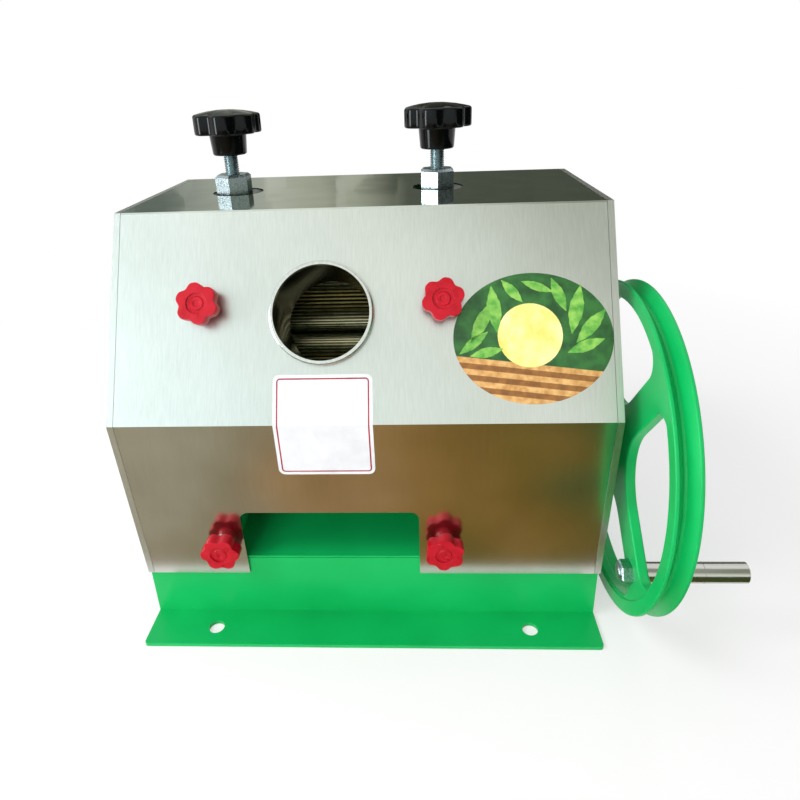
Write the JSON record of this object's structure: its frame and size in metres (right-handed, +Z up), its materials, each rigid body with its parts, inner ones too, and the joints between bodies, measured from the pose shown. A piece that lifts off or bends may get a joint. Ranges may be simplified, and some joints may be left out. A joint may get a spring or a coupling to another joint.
{
  "type": "manual sugarcane juicer",
  "caption": "Hand cranked sugarcane juicer: fluted rollers in a folded steel case on a painted base, with feed tube, juice notch, pressing screws and a grooved handwheel.",
  "frame": {"origin": "on the floor, in the middle of the four foot holes and of the case", "axes": "+X along the rollers towards the handwheel, -Y towards the feed tube and the juice notch, +Z up"},
  "size_m": [0.4726, 0.4132, 0.398],
  "materials": {
    "polished_steel": "mirror polished stainless sheet",
    "brushed_steel": "brushed stainless sheet",
    "tube_steel": "polished stainless tube",
    "green_paint": "semi-gloss green enamel",
    "zinc_plate": "bright zinc plate",
    "roller_steel": "turned and fluted steel",
    "ground_steel": "ground steel",
    "gear_steel": "machined steel",
    "bronze": "cast bronze",
    "grip_steel": "bright steel tube",
    "black_knob": "glossy black moulding",
    "red_knob": "satin red moulding"
  },
  "bodies": {
    "case_and_frame": {"side_panel_left": "brushed_steel", "side_panel_right": "brushed_steel", "top_panel": "polished_steel", "upper_front_panel": "brushed_steel", "lower_front_panel": "brushed_steel", "rear_cover": "brushed_steel", "feed_tube": "tube_steel", "base": "green_paint", "juice_tray": "green_paint", "bagasse_chute": "green_paint", "frame_left": "green_paint", "frame_right": "green_paint", "frame_tie_bars": "zinc_plate", "tie_bar_bolts": "zinc_plate", "outboard_plate": "green_paint", "outboard_spacers": "zinc_plate", "outboard_bolts": "zinc_plate", "cover_standoffs": "zinc_plate", "rear_cover_screws": "zinc_plate", "side_panel_screws": "zinc_plate", "press_bridges": "green_paint", "screw_bosses": "zinc_plate", "roller_bushes": "bronze", "input_shaft_bushes": "bronze", "guide_bar": "green_paint"},
    "press_blocks": {"bearing_block_left": "ground_steel", "bearing_block_right": "ground_steel", "top_roller_bushes": "bronze"},
    "top_roller": {"top_roller": "roller_steel", "top_roller_shaft": "ground_steel", "top_roller_gear": "gear_steel"},
    "front_roller": {"front_roller": "roller_steel", "front_roller_shaft": "ground_steel", "front_roller_gear": "gear_steel", "drive_gear": "gear_steel"},
    "rear_roller": {"rear_roller": "roller_steel", "rear_roller_shaft": "ground_steel", "rear_roller_gear": "gear_steel"},
    "handwheel": {"input_shaft": "ground_steel", "pinion": "gear_steel", "handwheel": "green_paint", "wheel_key": "ground_steel", "wheel_washer": "zinc_plate", "wheel_nut": "zinc_plate", "crank_bolt": "zinc_plate", "crank_nut": "zinc_plate"},
    "crank_grip": {"crank_grip": "grip_steel"},
    "left_press_screw": {"adjusting_screw_left": "zinc_plate", "star_knob_left": "black_knob"},
    "right_press_screw": {"adjusting_screw_right": "zinc_plate", "star_knob_right": "black_knob"},
    "washer_upper_left": {"thumb_washer_upper_left": "zinc_plate"},
    "thumb_upper_left": {"thumb_screw_upper_left": "red_knob"},
    "washer_upper_right": {"thumb_washer_upper_right": "zinc_plate"},
    "thumb_upper_right": {"thumb_screw_upper_right": "red_knob"},
    "washer_lower_left": {"thumb_washer_lower_left": "zinc_plate"},
    "thumb_lower_left": {"thumb_screw_lower_left": "red_knob"},
    "washer_lower_right": {"thumb_washer_lower_right": "zinc_plate"},
    "thumb_lower_right": {"thumb_screw_lower_right": "red_knob"}
  },
  "joints": [
    {"name": "wheel_turn", "type": "hinge", "parent": "case_and_frame", "child": "handwheel", "pos_m": [0, -0.098, 0.137], "axis": [1, 0, 0], "continuous": true},
    {"name": "grip_turn", "type": "hinge", "parent": "handwheel", "child": "crank_grip", "pos_m": [0.25, -0.17065, 0.06684], "axis": [1, 0, 0], "continuous": true},
    {"name": "front_roller_turn", "type": "hinge", "parent": "case_and_frame", "child": "front_roller", "pos_m": [0, -0.0355, 0.17846], "axis": [1, 0, 0], "continuous": true},
    {"name": "press_lift", "type": "slide", "parent": "case_and_frame", "child": "press_blocks", "axis": [0, 0, 1], "range_m": [0, 0.002]},
    {"name": "top_roller_turn", "type": "hinge", "parent": "press_blocks", "child": "top_roller", "pos_m": [0, 0, 0.2305], "axis": [1, 0, 0], "continuous": true},
    {"name": "rear_roller_turn", "type": "hinge", "parent": "case_and_frame", "child": "rear_roller", "pos_m": [0, 0.0355, 0.17846], "axis": [1, 0, 0], "continuous": true},
    {"name": "left_press_turn", "type": "hinge", "parent": "press_blocks", "child": "left_press_screw", "pos_m": [-0.115, 0, 0.38], "axis": [0, 0, 1], "range_deg": [0, 412.4]},
    {"name": "right_press_turn", "type": "hinge", "parent": "press_blocks", "child": "right_press_screw", "pos_m": [0.06, 0, 0.38], "axis": [0, 0, 1], "range_deg": [0, 412.4]},
    {"name": "washer_upper_left_out", "type": "slide", "parent": "case_and_frame", "child": "washer_upper_left", "axis": [0, -0.8728, 0.4881], "range_m": [0, 0.00375]},
    {"name": "thumb_upper_left_turn", "type": "hinge", "parent": "washer_upper_left", "child": "thumb_upper_left", "pos_m": [-0.115, -0.1184, 0.2674], "axis": [0, -0.8728, 0.4881], "range_deg": [0, 1082]},
    {"name": "washer_upper_right_out", "type": "slide", "parent": "case_and_frame", "child": "washer_upper_right", "axis": [0, -0.8728, 0.4881], "range_m": [0, 0.00375]},
    {"name": "thumb_upper_right_turn", "type": "hinge", "parent": "washer_upper_right", "child": "thumb_upper_right", "pos_m": [0.06, -0.1184, 0.2674], "axis": [0, -0.8728, 0.4881], "range_deg": [0, 1082]},
    {"name": "washer_lower_left_out", "type": "slide", "parent": "case_and_frame", "child": "washer_lower_left", "axis": [0, -0.9971, -0.0765], "range_m": [0, 0.00375]},
    {"name": "thumb_lower_left_turn", "type": "hinge", "parent": "washer_lower_left", "child": "thumb_lower_left", "pos_m": [-0.115, -0.15243, 0.081], "axis": [0, -0.9971, -0.0765], "range_deg": [0, 1082]},
    {"name": "washer_lower_right_out", "type": "slide", "parent": "case_and_frame", "child": "washer_lower_right", "axis": [0, -0.9971, -0.0765], "range_m": [0, 0.00375]},
    {"name": "thumb_lower_right_turn", "type": "hinge", "parent": "washer_lower_right", "child": "thumb_lower_right", "pos_m": [0.06, -0.15243, 0.081], "axis": [0, -0.9971, -0.0765], "range_deg": [0, 1082]}
  ],
  "couplings": [
    {"joint": "front_roller_turn", "follows": "wheel_turn", "ratio": -0.30435},
    {"joint": "top_roller_turn", "follows": "wheel_turn", "ratio": 0.30435},
    {"joint": "rear_roller_turn", "follows": "wheel_turn", "ratio": -0.30435},
    {"joint": "left_press_turn", "follows": "press_lift", "rad_per_m": 3590.4},
    {"joint": "right_press_turn", "follows": "press_lift", "rad_per_m": 3590.4},
    {"joint": "thumb_upper_left_turn", "follows": "washer_upper_left_out", "rad_per_m": 5026.5},
    {"joint": "thumb_upper_right_turn", "follows": "washer_upper_right_out", "rad_per_m": 5026.5},
    {"joint": "thumb_lower_left_turn", "follows": "washer_lower_left_out", "rad_per_m": 5026.5},
    {"joint": "thumb_lower_right_turn", "follows": "washer_lower_right_out", "rad_per_m": 5026.5}
  ]
}
